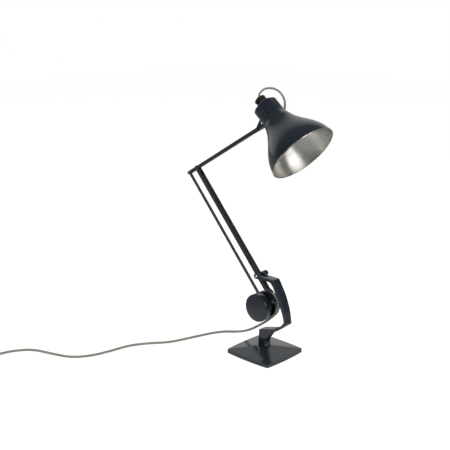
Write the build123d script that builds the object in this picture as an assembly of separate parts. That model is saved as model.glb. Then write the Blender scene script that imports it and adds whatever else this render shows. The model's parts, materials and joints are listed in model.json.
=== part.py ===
from build123d import *
import math
import os

# Desk lamp with a square cast base, a C-shaped bracket, two square-tube arms and twin round
# counterweights. Millimetres, +Z up. The arms move in the plane Y = 0 and the shade is towards +X.
# The origin is the middle of the base's underside, on the table.

# Fits
turn_gap = 0.3            # between bodies that move past each other
pin_gap = 0.05            # round a pin in its bore
seat_gap = 0.2            # under a face that turns on another

# Base
base_side = 129.0
base_bow = 3.0            # how far each side bows outwards
base_corner = 4.0         # how much each corner is cut back and rounded
felt_thick = 1.5
felt_margin = 3.0
rim_high = 8.5            # upright edge of the casting
pyramid_rise = 10.0       # from the edge up to the pad under the bracket
pad_side = 25.0
pocket_r = 24.0           # recess for the swivel nut
pocket_deep = 8.0
stud_r = 4.0
stud_in_foot = 24.0
swivel_washer_r = 10.0
swivel_washer_thick = 0.8
nut_washer_r = 13.0
nut_washer_thick = 1.6
nut_across = 13.0
nut_high = 4.6

# Bracket
bracket_wide = 22.0
bracket_edge = 1.8        # rounding of its long edges
pivot_x = -20.3
pivot_z = 193.0
fork_r = 6.8
fork_slot_end = 6.0
fork_flat = 5.8           # how far the fork's top runs level in front of the pivot
fork_rise = 14.3          # from the pivot to where the arm reaches its full height
fork_under = 42.8         # from the pivot to the front of its straight underside
fork_round = 0.98         # share of a full half round at its tip
arm_top = 195.3           # height of the bracket's upper arm
arm_under = 188.0
top_front_x = 33.6
heel_x = 73.4
heel_z = 93.6
shelf_back_x = -8.6
shelf_back_z = 62.3
foot_front_x = 10.8
foot_back_x = -11.3
bracket_outside = [        # corners from the front of the arm down to the foot: x, z, rounding
    (56.2, 158.5, 110.0), (69.2, 122.0, 110.0), (heel_x, heel_z, 4.5), (51.2, 75.4, 60.0),
    (24.0, 59.0, 18.0), (8.4, 37.0, 12.0), (9.4, 28.0, 10.0)]
bracket_inside = [         # and from the back of the foot up to the arm's underside
    (-9.9, 46.0, 60.0), (shelf_back_x, shelf_back_z, 2.4), (36.8, 74.9, 12.0), (59.8, 89.8, 20.0),
    (heel_x - 6.7, heel_z + 6.4, 6.0), (61.6, 117.5, 60.0), (44.9, 154.6, 80.0), (31.0, 179.5, 16.0)]

# Lower arm
lean = 41.6               # degrees from upright, towards -X
lower_long = 309.0        # bracket pivot to elbow
lower_side = 11.0         # outside of the square tube
lower_wall = 0.9
lower_edge = 1.2
tube_tail = 50.0          # how far the tube runs below the bracket pivot
crank_drop = 71.2         # bracket pivot to the counterweights' pivot
tongue_thick = 5.8
plug_in_tube = 13.0
elbow_slot_front = 26.0   # slot below the elbow on the side of the shade
elbow_slot_back = 9.0

# Upper arm
rise = 30.6               # degrees above level, towards +X
upper_long = 227.3        # elbow to the shade's pivot
upper_side = 8.4
upper_wall = 0.8
upper_edge = 1.0
crank_long = 32.4         # elbow to the link's upper pin, and its twin beside the weights
tail_past_pin = 4.4
link_slot = 12.4          # slot for the link, from its pin towards the elbow
tip_slot = 12.0

# Link
link_side = 5.3
link_edge = 0.5
link_pin_r = 1.6

# Counterweights
weight_r = 33.8
weight_thick = 20.4
weight_edge = 3.2
weight_crown = 1.2        # how far the outer face swells
weight_out = 40.5         # counterweights' pivot to their middle
plate_thick = 2.8
plate_half_wide = 6.5
crank_pin_r = 2.5
weight_stud_r = 2.6
weight_stud_in = 11.0
tongue_rivet_high = 0.2   # its heads pass under the counterweights

# Bolts and pins
pivot_bolt_r = 3.0
pivot_washer_r = 6.8
pivot_washer_thick = 1.2
pivot_head_r = 4.4
pivot_head_high = 2.8
knob_r = 7.0
knob_long = 14.0
knob_flutes = 10
knob_flute_r = 1.3
elbow_pin_r = 2.0
elbow_head_r = 3.8
elbow_head_high = 2.4
link_head_r = 2.6
link_head_high = 1.4
crank_head_r = 3.9
crank_head_high = 1.8
tilt_pin_r = 1.8
tilt_head_r = 3.4
tilt_head_high = 2.0

# Shade, up its axis from the plane of its rim
tilt_down = 40.3          # degrees of the shade's axis below level
rim_ahead = 132.006537    # middle of the rim's plane from the shade's pivot, level and down
rim_below = 38.774724
rim_r = 78.7
bell_wall = 1.2
bead_r = 1.5
bell_lip_high = 37.4      # heights and radii that steer the bell's curve
bell_lip_in = 1.4
bell_waist_high = 62.0
bell_waist_r = 42.4
bell_high = 95.0
neck_r = 33.0
collar_high = 6.0

# Housing between the shade and the lampholder
housing_half = 24.4
housing_corner = 13.0
housing_wall = 1.4
housing_top = 148.6
housing_square = 112.0    # height where it turns square
housing_edge = 4.0

# Lampholder
holder_r = 13.5
holder_mouth = 111.0
socket_r = 11.3
socket_deep = 18.0
slot_wide = 2.8
ring_r = 18.5
ring_high = 5.0
flange_r = 15.5
flange_high = 3.0
cap_r = 13.2
cap_lift = 5.2            # from the housing's top to the cap's lower edge
cap_high = 13.0
cap_wall = 2.4
cap_hole_r = 6.0
bar_lift = 4.6            # from the cap's lower edge to the middle of the push bar
bar_high = 4.0
bar_wide = 7.0
bar_near = 20.0
bar_far = 14.6
bar_travel = 4.5

# Bracket between the housing and the upper arm
leg_thick = 5.6
leg_foot_low = 105.0
leg_foot_high = 138.0
leg_foot_wide = 14.0
leg_foot_thick = 2.0
leg_eye_r = 3.9
leg_window = [(122.0, 30.0), (132.0, 30.0), (127.6, 44.0)]   # hole through the web
leg_window_corner = 1.5
rivet_r = 1.2
rivet_head_r = 1.9
rivet_head_high = 1.1
rivet_aside = 4.9         # from the middle of the foot

# Bulb
bulb_r = 22.5
bulb_middle = 75.0
bulb_wall = 0.8
bulb_cap_r = 11.0
bulb_cap_low = 102.0
bulb_cap_high = 24.0
contact_r = 2.0
contact_out = 5.0

# Flex and plug
flex_d = 5.8
head_flex_d = 4.8
coil_inner_r = 22.8       # the climbing half turn
coil_pitch = 6.6
coil_lift = 6.5
gland_r = 4.3
gland_long = 9.0
gland_at = 43.5           # below the bracket pivot
grommet_r = 3.6
grommet_high = 1.2
head_grommet_back = 22.0  # from the shade's pivot
plug_r = 21.0
plug_high = 19.0
plug_edge = 4.0
plug_neck_r = 5.0
plug_neck_long = 25.0
plug_pin_r = 2.54
plug_pin_long = 15.0
earth_pin_r = 3.53
earth_pin_long = 20.0
plug_pin_apart = 19.05
earth_pin_back = 22.23


def direction(degrees):
    """Unit vector in the plane of the arms, turned up from +X."""
    return Vector(math.cos(math.radians(degrees)), 0, math.sin(math.radians(degrees)))


def frame_at(point, along):
    """Frame with its X along a direction in the plane of the arms and its Z along -Y."""
    return Plane(origin=point, x_dir=along, z_dir=(0, -1, 0)).location


# Pivots and frames
bracket_pivot = Vector(pivot_x, 0, pivot_z)
lower_up = direction(90 + lean)
upper_out = direction(rise)
elbow = bracket_pivot + lower_up * lower_long
crank_pivot = bracket_pivot - lower_up * crank_drop
link_top = elbow - upper_out * crank_long
link_bottom = crank_pivot - upper_out * crank_long
weight_middle = crank_pivot - upper_out * weight_out
tilt_pivot = elbow + upper_out * upper_long
shade_up = direction(180 - tilt_down)
lower = frame_at(bracket_pivot, lower_up)
upper = frame_at(elbow, upper_out)
crank = frame_at(crank_pivot, upper_out * -1)
linkage = frame_at(link_bottom, lower_up)
rim_middle = tilt_pivot + Vector(rim_ahead, 0, -rim_below)
head = frame_at(rim_middle, shade_up)
tilt_local = head.inverse() * Pos(tilt_pivot)

# Heights and widths that follow
pad_top = felt_thick + rim_high + pyramid_rise
foot_z = pad_top + swivel_washer_thick + seat_gap
nut_washer_top = felt_thick + pocket_deep - seat_gap
nut_top = nut_washer_top - nut_washer_thick
bracket_half = bracket_wide / 2
lower_half = lower_side / 2
upper_half = upper_side / 2
upper_inner = upper_half - upper_wall
tongue_half = tongue_thick / 2
plate_inner = tongue_half + turn_gap
plate_outer = plate_inner + plate_thick
cap_start = housing_top + cap_lift
cap_top = cap_start + cap_high
bar_at = cap_start + bar_lift


def rod(point, radius, y_from, y_to):
    """Round bar along Y through a point of the arms' plane."""
    place = Pos(point.X, y_from, point.Z) * Rot(-90, 0, 0)
    return place * Cylinder(radius, y_to - y_from, align=(Align.CENTER, Align.CENTER, Align.MIN))


def disc(radius, low, high):
    """Round bar about Z between two heights."""
    return Pos(0, 0, low) * Cylinder(radius, high - low, align=(Align.CENTER, Align.CENTER, Align.MIN))


def head_disc(radius, low, high):
    """Round bar about the shade's axis."""
    place = head * Pos(low, 0, 0) * Rot(0, 90, 0)
    return place * Cylinder(radius, high - low, align=(Align.CENTER, Align.CENTER, Align.MIN))


def screw_head(point, radius, high, y_face, out, slotted):
    """Domed head that stands on a face looking along Y."""
    dome_r = (radius**2 + high**2) / (2 * high)
    ball = Pos(point.X, y_face + out * (high - dome_r), point.Z) * Sphere(dome_r)
    tip = y_face + out * high
    body = ball & rod(point, radius, min(y_face, tip), max(y_face, tip))
    if slotted:
        place = Pos(point.X, tip, point.Z) * Rot(0, 35, 0)
        body -= place * Box(2.4 * radius, high * 0.8, radius * 0.28)
    return body


def bar(frame, start, end, y_low, y_high, half_thick):
    """Block in a frame: along its X, across its Y and evenly about the arms' plane."""
    block = Box(end - start, y_high - y_low, 2 * half_thick)
    return frame * Pos((start + end) / 2, (y_low + y_high) / 2, 0) * block


def square_bar(frame, start, end, side, edge):
    """Square bar along a frame's X with rounded long edges."""
    body = Pos((start + end) / 2, 0, 0) * Box(end - start, side, side)
    return frame * fillet(body.edges().filter_by(Axis.X), edge)


def round_ended(frame, start, end, half_wide, low, high):
    """Plate with two round ends, between two distances towards -Y."""
    flat = Pos((start + end) / 2, 0, 0) * SlotCenterToCenter(end - start, 2 * half_wide)
    return frame * Pos(0, 0, low) * extrude(flat, high - low)


def rounded_outline(corners):
    """Closed wire in the plane Y = 0 from corners (x, z, radius), with tangent arcs."""
    points = [Vector(x, 0, z) for x, z, radius in corners]
    arcs = []
    for i, point in enumerate(points):
        back = (points[i - 1] - point).normalized()
        ahead = (points[(i + 1) % len(points)] - point).normalized()
        half_turn = math.radians(180 - back.get_angle(ahead)) / 2
        radius = corners[i][2]
        reach = radius * math.tan(half_turn)
        inside = (back + ahead).normalized() * (radius / math.cos(half_turn) - radius)
        arcs.append((point + back * reach, point + inside, point + ahead * reach))
    edges = []
    for i, (begin, middle, end) in enumerate(arcs):
        if corners[i][2]:
            edges.append(ThreePointArc(begin, middle, end))
        edges.append(Line(end, arcs[(i + 1) % len(arcs)][0]))
    return Wire(edges)


# Base
def square_outline(side, bow, corner):
    """Square wire with bowed sides and rounded corners."""
    half = side / 2
    edges = []
    for turn in range(4):
        spin = Rot(0, 0, 90 * turn)
        near = (half - corner, -half)
        far = (half, -half + corner)
        bend = (half - 0.3 * corner, -half + 0.3 * corner)
        edges.append(spin * ThreePointArc((-half + corner, -half), (0, -half - bow), near))
        edges.append(spin * ThreePointArc(near, bend, far))
    return Wire(edges)


def base_casting():
    rim_top = felt_thick + rim_high
    outline = square_outline(base_side, base_bow, base_corner)
    body = Pos(0, 0, felt_thick) * extrude(make_face(outline), rim_high)
    foot = Pos(0, 0, rim_top) * outline
    pad = Pos(0, 0, pad_top) * square_outline(pad_side, base_bow / 6, base_corner / 3)
    body += Solid.make_loft([foot, pad], ruled=True)
    body -= disc(pocket_r, felt_thick, felt_thick + pocket_deep)
    return body - disc(stud_r + pin_gap, 0, pad_top + 1)


def base_felt():
    outline = square_outline(base_side - 2 * felt_margin, base_bow, base_corner)
    return extrude(make_face(outline), felt_thick)


def swivel_washer():
    return disc(swivel_washer_r, pad_top, pad_top + swivel_washer_thick) - disc(stud_r + pin_gap, 0, foot_z)


def swivel_stud():
    return disc(stud_r, nut_top - nut_high, foot_z + stud_in_foot)


def swivel_nut():
    flat = RegularPolygon(nut_across / 2, 6, major_radius=False)
    body = Pos(0, 0, nut_top - nut_high) * extrude(flat, nut_high)
    body += disc(nut_washer_r, nut_top, nut_washer_top)
    return body - disc(stud_r, 0, pad_top)


# Bracket
def bracket_outline():
    """Side view of the casting: fork, bowed back, heel, shelf, neck and foot."""
    end_x = pivot_x - fork_r
    top, under = pivot_z + fork_r, pivot_z - fork_r
    tip_round = fork_r * fork_round
    above = [(end_x, top, tip_round), (pivot_x + fork_flat, top, 6.0), (pivot_x + fork_rise, arm_top, 8.0)]
    foot = [(foot_front_x, foot_z, 0), (foot_back_x, foot_z, 0)]
    below = [(pivot_x + fork_under, arm_under, 12.0), (end_x, under, tip_round)]
    corners = above + [(top_front_x, arm_top, 5.0)] + bracket_outside + foot + bracket_inside + below
    return rounded_outline(corners)


def stem_bracket():
    body = extrude(Pos(0, -bracket_half, 0) * make_face(bracket_outline()), bracket_wide, dir=(0, 1, 0))
    for face in (body.faces().sort_by(Axis.Y)[0], body.faces().sort_by(Axis.Y)[-1]):
        body = fillet([e for e in face.edges() if e.center().Z > foot_z + 0.5], bracket_edge)
    slot_half = lower_half + turn_gap
    slot_start = pivot_x - 2 * fork_r
    slot_middle = fork_slot_end - slot_half
    body -= bar(Pos(0, 0, pivot_z) * Rot(90, 0, 0), slot_start, slot_middle, -20, 20, slot_half)
    body -= Pos(slot_middle, 0, pivot_z) * Cylinder(slot_half, 40)
    body -= rod(bracket_pivot, pivot_bolt_r, -bracket_wide, bracket_wide)
    return body - disc(stud_r, 0, foot_z + stud_in_foot)


def pivot_bolt():
    near = -bracket_half - pivot_washer_thick
    far = bracket_half + pivot_washer_thick + knob_long * 0.8
    return rod(bracket_pivot, pivot_bolt_r, near, far) + screw_head(
        bracket_pivot, pivot_head_r, pivot_head_high, near, -1, True)


def pivot_washer(side):
    inner = side * bracket_half
    outer = side * (bracket_half + pivot_washer_thick)
    low, high = min(inner, outer), max(inner, outer)
    return rod(bracket_pivot, pivot_washer_r, low, high) - rod(bracket_pivot, pivot_bolt_r, low, high)


def clamp_knob():
    """Fluted knob on the far end of the pivot bolt."""
    start = bracket_half + pivot_washer_thick + seat_gap
    body = rod(bracket_pivot, knob_r, start, start + knob_long)
    body = fillet(body.edges().sort_by(Axis.Y)[-1], 1.6)
    body -= rod(bracket_pivot, pivot_bolt_r + pin_gap, start, start + knob_long * 0.9)
    for i in range(knob_flutes):
        place = bracket_pivot + direction(360 / knob_flutes * i) * (knob_r + knob_flute_r * 0.3)
        body -= rod(place, knob_flute_r, start + 3, start + knob_long + 1)
    return body


# Lower arm
def lower_arm_tube():
    inner_half = lower_half - lower_wall
    top = lower_long + lower_half
    body = square_bar(lower, -tube_tail, top, lower_side, lower_edge)
    body -= bar(lower, -tube_tail - 1, top + 1, -inner_half, inner_half, inner_half)
    cap = rod(elbow, lower_half, -lower_half, lower_half)
    body -= bar(lower, lower_long, top + 1, -lower_side, lower_side, lower_side) - cap
    front = lower_long - elbow_slot_front + inner_half
    body -= bar(lower, front, top + 1, -lower_side, 0, inner_half)
    body -= lower * Pos(front, -lower_half, 0) * Rot(90, 0, 0) * Cylinder(inner_half, lower_side)
    body -= bar(lower, lower_long - elbow_slot_back, top + 1, 0, lower_side, inner_half)
    body -= rod(bracket_pivot, pivot_bolt_r + pin_gap, -lower_side, lower_side)
    body -= rod(elbow, elbow_pin_r, -lower_side, lower_side)
    body -= rod(tongue_rivet_place(), rivet_r, -lower_side, lower_side)
    return body - gland_peg()


def tongue_rivet_place():
    return bracket_pivot - lower_up * (tube_tail - 0.75 * plug_in_tube)


def pivot_sleeve():
    """Spacer inside the tube, so that the bolt does not crush it."""
    reach = lower_half - lower_wall
    body = rod(bracket_pivot, reach, -reach, reach)
    return body - rod(bracket_pivot, pivot_bolt_r + pin_gap, -reach, reach)


def lower_arm_tongue():
    """Plug in the tube's lower end, with the ear that carries the counterweights."""
    inner_half = lower_half - lower_wall
    body = bar(lower, -tube_tail, -tube_tail + plug_in_tube, -0.8, inner_half, inner_half)
    body += round_ended(lower, -crank_drop, -tube_tail - 1, lower_half, -tongue_half, tongue_half) & bar(
        lower, -crank_drop - lower_half, -tube_tail, -lower_half, lower_half, tongue_half)
    body -= rod(crank_pivot, crank_pin_r + pin_gap, -lower_side, lower_side)
    return body - rod(tongue_rivet_place(), rivet_r, -lower_side, lower_side)


def tongue_rivet():
    place = tongue_rivet_place()
    body = rod(place, rivet_r, -lower_half, lower_half)
    for out in (-1, 1):
        body += screw_head(place, rivet_r * 1.6, tongue_rivet_high, out * lower_half, out, False)
    return body


def elbow_pin():
    """Shouldered pin with a slotted head on the near side."""
    body = rod(elbow, elbow_pin_r, -lower_half, lower_half + 3.4)
    return body + screw_head(elbow, elbow_head_r, elbow_head_high, -lower_half, -1, True)


def hex_nut(point, across, high, bore_r, y_face):
    flat = extrude(RegularPolygon(across / 2, 6, major_radius=False), high)
    body = Pos(point.X, y_face, point.Z) * Rot(-90, 0, 0) * flat
    return body - rod(point, bore_r, y_face, y_face + high)


def gland_axis():
    """Frame at the outside of the tube's front wall, its Z out of the lead-out's mouth."""
    wall = lower * Pos(-gland_at, -lower_half, 0)
    out = Vector(0.9, 0, -0.43).normalized()
    return Plane(origin=wall.position, x_dir=(0, 1, 0), z_dir=out)


def gland_peg():
    place = lower * Pos(-gland_at, -lower_half, 0) * Rot(90, 0, 0)
    return place * Cylinder(gland_r * 0.7, 2 * lower_wall)


def flex_gland():
    """Slanted rubber lead-out, flat against the tube's wall."""
    stub = extrude(gland_axis() * Circle(gland_r), gland_long)
    stub += extrude(gland_axis() * Circle(gland_r), -gland_r)
    outside = bar(lower, -tube_tail - 20, 0, -40, -lower_half, 20)
    return (stub & outside) + (gland_peg() & bar(lower, -tube_tail, 0, -lower_half, 0, 20))


# Upper arm
def upper_arm_tube():
    start = -crank_long - tail_past_pin
    end = upper_long + upper_half
    body = square_bar(upper, start, end, upper_side, upper_edge)
    body -= bar(upper, start - 1, end + 1, -upper_inner, upper_inner, upper_inner)
    body -= bar(upper, start - 1, -crank_long + link_slot, -upper_side, 0, upper_inner)
    body -= bar(upper, upper_long - tip_slot, end + 1, -upper_side, upper_side, upper_inner)
    cap = rod(tilt_pivot, upper_half, -upper_half, upper_half)
    body -= bar(upper, upper_long, end + 1, -upper_side, upper_side, upper_side) - cap
    body -= rod(elbow, elbow_pin_r + pin_gap, -upper_side, upper_side)
    body -= rod(link_top, link_pin_r, -upper_side, upper_side)
    body -= rod(tilt_pivot, tilt_pin_r, -upper_side, upper_side)
    return body - rod(head_grommet_place(), head_flex_d / 2 + 0.3, 0, upper_side)


def head_grommet_place():
    return tilt_pivot - upper_out * head_grommet_back


def elbow_bush():
    body = rod(elbow, upper_inner, -upper_inner, upper_inner)
    return body - rod(elbow, elbow_pin_r + pin_gap, -upper_side, upper_side)


def link_top_pin():
    body = rod(link_top, link_pin_r, -upper_half, upper_half)
    for out in (-1, 1):
        body += screw_head(link_top, link_head_r, link_head_high, out * upper_half, out, False)
    return body


def tilt_screw():
    body = rod(tilt_pivot, tilt_pin_r, -upper_half, upper_half + 3.2)
    return body + screw_head(tilt_pivot, tilt_head_r, tilt_head_high, -upper_half, -1, True)


def head_grommet():
    """Rubber ring where the head's flex enters the arm."""
    place = head_grommet_place()
    body = rod(place, grommet_r, upper_half, upper_half + grommet_high)
    body += rod(place, head_flex_d / 2 + 0.3, upper_inner, upper_half)
    return body - rod(place, head_flex_d / 2, 0, upper_side)


# Link
def link_bar():
    half = link_side / 2
    long = lower_long + crank_drop
    body = round_ended(linkage, 0, long, half, -half, half)
    sides = [e for e in body.edges() if e.length > long - 1]
    body = fillet(sides, link_edge)
    body -= rod(link_top, link_pin_r + pin_gap, -lower_side, lower_side)
    return body - rod(link_bottom, link_pin_r + pin_gap, -lower_side, lower_side)


# Counterweights
def crank_plate(side):
    low, high = sorted((side * plate_inner, side * plate_outer))
    body = round_ended(crank, 0, weight_out, plate_half_wide, low, high)
    body -= rod(crank_pivot, crank_pin_r, -weight_r, weight_r)
    body -= rod(link_bottom, link_pin_r, -weight_r, weight_r)
    return body - rod(weight_middle, weight_stud_r, -weight_r, weight_r)


def weight(side):
    """Thick disc with a blind bore, rounded edges and a slightly crowned face."""
    flat = weight_thick - weight_crown
    body = rod(Vector(0, 0, 0), weight_r, 0, flat)
    body = fillet(body.edges().sort_by(Axis.Y)[-1], weight_edge)
    body = chamfer(body.edges().sort_by(Axis.Y)[0], 0.8)
    crown_base = weight_r - weight_edge
    crown_r = (crown_base**2 + weight_crown**2) / (2 * weight_crown)
    crown = Pos(0, weight_thick - crown_r, 0) * Sphere(crown_r)
    body += crown & rod(Vector(0, 0, 0), crown_base, flat - 1, weight_thick)
    place = Pos(weight_middle.X, side * plate_outer, weight_middle.Z)
    if side < 0:
        place = place * Rot(180, 0, 0)
    reach = plate_outer + weight_stud_in
    return place * body - rod(weight_middle, weight_stud_r, -reach, reach)


def weight_studs():
    """One stud for each weight, level with its plate's inner face so that the link passes between them."""
    reach = plate_outer + weight_stud_in
    near = rod(weight_middle, weight_stud_r, -reach, -plate_inner)
    return [near, rod(weight_middle, weight_stud_r, plate_inner, reach)]


def crank_pin():
    body = rod(crank_pivot, crank_pin_r, -plate_outer, plate_outer)
    for out in (-1, 1):
        body += screw_head(crank_pivot, crank_head_r, crank_head_high, out * plate_outer, out, False)
    return body


def link_bottom_pin():
    return rod(link_bottom, link_pin_r, -plate_outer, plate_outer)


# Shade
def shade_bell():
    """Spun bell with a rolled rim and a collar that the housing sits on."""
    collar_r = neck_r - housing_wall - pin_gap
    taper = (neck_r - housing_half) / (housing_square - bell_high)
    top_r = collar_r - collar_high * taper - turn_gap
    top = bell_high + collar_high
    rim_inside = rim_r - bell_wall
    neck_inside = (bell_high - bell_wall, neck_r - bell_wall)
    waist = (bell_waist_high, bell_waist_r)
    waist_inside = (bell_waist_high - bell_wall, bell_waist_r - bell_wall)
    lip = (bell_lip_high, rim_r - bell_lip_in)
    lip_inside = (bell_lip_high - bell_wall / 2, rim_inside - bell_lip_in)
    outline = Wire([
        Bezier((0, rim_r), lip, waist, (bell_high, neck_r)),
        Line((bell_high, neck_r), (bell_high, collar_r)), Line((bell_high, collar_r), (top, top_r)),
        Line((top, top_r), (top, top_r - bell_wall)), Line((top, top_r - bell_wall), neck_inside),
        Bezier(neck_inside, waist_inside, lip_inside, (0, rim_inside)),
        Line((0, rim_inside), (0, rim_r))])
    body = revolve(make_face(outline), Axis.X)
    bead = Pos(0.3, 0, 0) * Rot(0, 90, 0) * Torus(rim_r, bead_r)
    return head * (body + bead)


def section(height, half, corner, round_r):
    """Closed section of the housing: a rounded square, or a circle cut at matching points."""
    edges = []
    split = math.radians(22)
    for turn in range(4):
        spin = Pos(height, 0, 0) * Rot(90 * turn, 0, 0)
        if round_r:
            a = (0, round_r * math.cos(split), -round_r * math.sin(split))
            b = (0, round_r, 0)
            c = (0, round_r * math.cos(split), round_r * math.sin(split))
            d = (0, round_r * math.sin(math.pi / 4), round_r * math.sin(math.pi / 4))
            e = (0, round_r * math.sin(split), round_r * math.cos(split))
            edges.append(spin * ThreePointArc(a, b, c))
            edges.append(spin * ThreePointArc(c, d, e))
        else:
            flat = half - corner
            bend = flat + corner * math.sin(math.pi / 4)
            edges.append(spin * Line((0, half, -flat), (0, half, flat)))
            edges.append(spin * ThreePointArc((0, half, flat), (0, bend, bend), (0, flat, half)))
    return Wire(edges)


def housing_block(shrink, low, top):
    half = housing_half - shrink
    corner = housing_corner - shrink
    square = section(housing_square, half, corner, 0)
    lower_part = Solid.make_loft([section(low, 0, 0, neck_r - shrink), square], ruled=True)
    upper_part = Solid.extrude(Face(square), Vector(top - housing_square, 0, 0))
    return lower_part + upper_part


def neck_housing():
    body = housing_block(0, bell_high, housing_top)
    rim = [e for e in body.edges() if abs(e.center().X - housing_top) < 0.01]
    body = fillet(rim, housing_edge)
    body -= housing_block(housing_wall, bell_high, housing_top - housing_wall)
    body = head * body
    for height, aside in leg_rivet_places():
        body -= leg_rivet_bar(height, aside)
    return body - head_disc(holder_r, housing_top - 10, housing_top + 10)


# Bracket between the housing and the upper arm
def leg_rivet_heights():
    return (housing_square + 3.0, leg_foot_high - 4.0)


def leg_rivet_places():
    return [(height, side * rivet_aside) for height in leg_rivet_heights() for side in (-1, 1)]


def leg_rivet_bar(height, aside):
    place = head * Pos(height, housing_half - housing_wall, aside) * Rot(-90, 0, 0)
    long = housing_wall + leg_foot_thick
    return place * Cylinder(rivet_r, long, align=(Align.CENTER, Align.CENTER, Align.MIN))


def head_bracket():
    """Riveted foot with a three-cornered web that ends in the pivot's eye."""
    eye = tilt_local.position
    foot_face = housing_half + leg_foot_thick
    web = make_hull(Wire([
        Line((leg_foot_low + 10, foot_face - 0.5), (leg_foot_high - 2, foot_face - 0.5)),
        Line((leg_foot_high - 2, foot_face - 0.5), (leg_foot_high - 2, foot_face + 0.5)),
        Line((leg_foot_high - 2, foot_face + 0.5), (leg_foot_low + 10, foot_face + 0.5)),
        Line((leg_foot_low + 10, foot_face + 0.5), (leg_foot_low + 10, foot_face - 0.5))]).edges() + [
            Pos(eye.X, eye.Y, 0) * Edge.make_circle(leg_eye_r)])
    window = make_face(Polyline(*leg_window, close=True))
    flat = make_face(web) - fillet(window.vertices(), leg_window_corner)
    body = Pos(0, 0, -leg_thick / 2) * extrude(flat, leg_thick)
    foot = Pos((housing_square + leg_foot_high) / 2, housing_half + leg_foot_thick / 2, 0)
    body += foot * Box(leg_foot_high - housing_square, leg_foot_thick, leg_foot_wide)
    body = head * body
    for height, aside in leg_rivet_places():
        body -= leg_rivet_bar(height, aside)
    return body - rod(tilt_pivot, tilt_pin_r + pin_gap, -leg_thick, leg_thick)


def bracket_rivets():
    """Rivets through the bracket's foot and the housing's wall."""
    rivets = []
    for height, aside in leg_rivet_places():
        body = leg_rivet_bar(height, aside)
        face = head * Pos(height, housing_half + leg_foot_thick, aside) * Rot(-90, 0, 0)
        dome_r = (rivet_head_r**2 + rivet_head_high**2) / (2 * rivet_head_high)
        ball = Pos(0, 0, rivet_head_high - dome_r) * Sphere(dome_r)
        cut = Cylinder(dome_r, 2 * dome_r, align=(Align.CENTER, Align.CENTER, Align.MIN))
        rivets.append(body + face * (ball & cut))
    return rivets


# Lampholder and switch
def lampholder_body():
    """Moulded barrel with a bayonet socket below and a flange above the housing."""
    flange_low = housing_top
    body = head_disc(holder_r, holder_mouth, cap_start)
    body += head_disc(flange_r, flange_low, flange_low + flange_high)
    floor = holder_mouth + socket_deep
    body -= head_disc(socket_r, holder_mouth - 1, floor)
    for side in (-1, 1):
        slot = Box(2 * (pin_height() - holder_mouth) + slot_wide, 4 * bulb_cap_r, slot_wide)
        body -= head * Pos(holder_mouth, side * 2 * bulb_cap_r, 0) * slot
    return body


def pin_height():
    return holder_mouth + 7.0


def lampholder_ring():
    low = housing_top - housing_wall - ring_high
    body = head_disc(ring_r, low, low + ring_high) - head_disc(holder_r, low - 1, low + ring_high + 1)
    for i in range(12):
        place = head * Rot(30 * i, 0, 0) * Pos(low + ring_high / 2, ring_r, 0)
        body -= place * Box(ring_high + 2, 1.6, 2.4)
    return body


def lampholder_cap():
    """Hollow cap with side windows for the push bar and a hole for the flex."""
    body = head_disc(cap_r, cap_start, cap_top)
    rim = [e for e in (head.inverse() * body).edges() if abs(e.center().X - cap_top) < 0.01]
    body = head * fillet(rim, 1.2)
    body -= head_disc(cap_r - cap_wall, cap_start - 1, cap_top - cap_wall)
    body -= head_disc(cap_hole_r, cap_start, cap_top + 1)
    window = Box(bar_high + 2 * turn_gap, bar_wide + 2 * turn_gap, 4 * cap_r)
    return body - head * Pos(bar_at, 0, 0) * window


def lampholder_contacts():
    """Two spring plungers that press on the bulb's pads."""
    low = bulb_cap_low + bulb_cap_high
    high = holder_mouth + socket_deep
    plunger = head.inverse() * head_disc(contact_r, low, high)
    return [head * Pos(0, 0, side * contact_out) * plunger for side in (-1, 1)]


def switch_bar():
    """Push bar across the lampholder: pressed in on one side, it comes out on the other."""
    body = Box(bar_high, bar_wide, bar_near + bar_far)
    ends = [e for e in body.edges() if abs(abs(e.center().Z) - (bar_near + bar_far) / 2) < 0.01]
    body = fillet(ends, 1.4)
    return head * Pos(bar_at, 0, (bar_near - bar_far) / 2) * body


# Bulb
def bulb_glass():
    """Round bulb blown into a neck, as a thin shell."""
    angle = math.radians(39)
    outline = [(bulb_r, 0.0), (bulb_r - bulb_wall, bulb_wall)]
    curves = []
    for radius, inset in outline:
        start = (bulb_middle - radius, 0)
        side = (bulb_middle, radius)
        end = (bulb_middle + radius * math.sin(angle), radius * math.cos(angle))
        neck = (bulb_cap_low + 1.0, bulb_cap_r - 0.8 - inset)
        curves.append((ThreePointArc(start, side, end), Bezier(
            end, (end[0] + 4.6, end[1] - 3.7), (neck[0] - 6.2, neck[1]), neck)))
    (outer, outer_neck), (inner, inner_neck) = curves
    ends = [Line(outer_neck @ 1, inner_neck @ 1), Line(inner @ 0, outer @ 0)]
    return head * revolve(make_face(Wire([outer, outer_neck, inner_neck, inner] + ends)), Axis.X)


def bulb_cap():
    """Bayonet cap with two pins and two contact pads."""
    top = bulb_cap_low + bulb_cap_high
    body = head_disc(bulb_cap_r, bulb_cap_low, top - 1.0)
    body -= head_disc(bulb_cap_r - 0.7, bulb_cap_low - 1, top - 2.0)
    pad = head.inverse() * head_disc(contact_r * 1.2, top - 1.1, top)
    for side in (-1, 1):
        body += head * Pos(0, 0, side * contact_out) * pad
    pins = head * Pos(pin_height(), 0, 0) * Rot(90, 0, 0) * Cylinder(slot_wide / 2 - 0.3, 2 * holder_r - 1.4)
    return body + (pins - head_disc(bulb_cap_r - 0.2, bulb_cap_low, top))


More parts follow.
